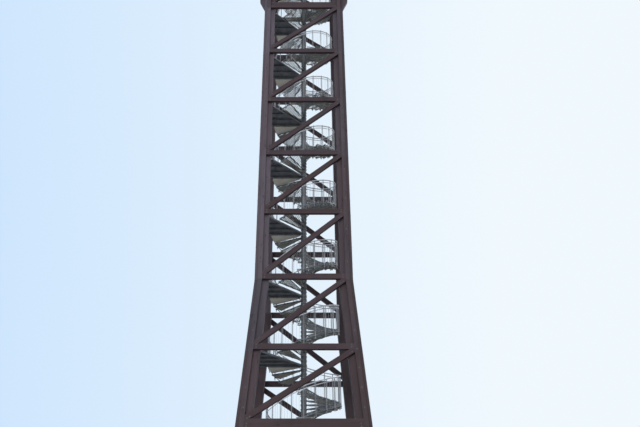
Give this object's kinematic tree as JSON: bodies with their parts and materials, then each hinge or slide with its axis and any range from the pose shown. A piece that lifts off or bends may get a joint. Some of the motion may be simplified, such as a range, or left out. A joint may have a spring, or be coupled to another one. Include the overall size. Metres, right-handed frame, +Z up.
{
  "type": "fire lookout tower",
  "caption": "Square timber lattice lookout tower on splayed legs, with a steel spiral stair inside and a roofed open gallery at the top.",
  "frame": {"origin": "centre of the stair column's foot flange, on the ground plane", "axes": "+Z up, the front of the tower faces -Y, +X to the right"},
  "size_m": [6.32, 6.32, 37.6366],
  "materials": {
    "stained_timber": "dark brown stain, weathered",
    "boards": "dark brown stain, sawn boards",
    "galvanised_steel": "hot-dip galvanised, dull",
    "foot_steel": "hot-dip galvanised, dull",
    "roof_sheet": "matt dark sheet"
  },
  "bodies": {
    "root": {"foot_front_right": "foot_steel", "foot_rear_right": "foot_steel", "foot_rear_left": "foot_steel", "foot_front_left": "foot_steel", "splay_leg_front_right": "stained_timber", "splay_leg_rear_right": "stained_timber", "splay_leg_rear_left": "stained_timber", "splay_leg_front_left": "stained_timber", "shaft_leg_front_right": "stained_timber", "shaft_leg_rear_right": "stained_timber", "shaft_leg_rear_left": "stained_timber", "shaft_leg_front_left": "stained_timber", "head_brackets": "stained_timber", "front_beams": "stained_timber", "right_beams": "stained_timber", "rear_beams": "stained_timber", "left_beams": "stained_timber", "front_braces": "stained_timber", "right_braces": "stained_timber", "rear_braces": "stained_timber", "left_braces": "stained_timber", "stair_column": "galvanised_steel", "flight_1": "galvanised_steel", "flight_2": "galvanised_steel", "flight_3": "galvanised_steel", "flight_4": "galvanised_steel", "flight_5": "galvanised_steel", "flight_6": "galvanised_steel", "rail_posts_lower": "galvanised_steel", "rail_posts_upper": "galvanised_steel", "handrail_lower": "galvanised_steel", "handrail_upper": "galvanised_steel", "gallery_joists": "stained_timber", "gallery_trimmers": "stained_timber", "gallery_floor": "boards", "front_parapet": "boards", "right_parapet": "boards", "rear_parapet": "boards", "left_parapet": "boards", "well_guard_posts": "galvanised_steel", "well_guard_rail": "galvanised_steel", "roof_posts": "stained_timber", "eaves_beams": "stained_timber", "hip_rafters": "stained_timber", "roof_covering": "roof_sheet"}
  },
  "joints": []
}
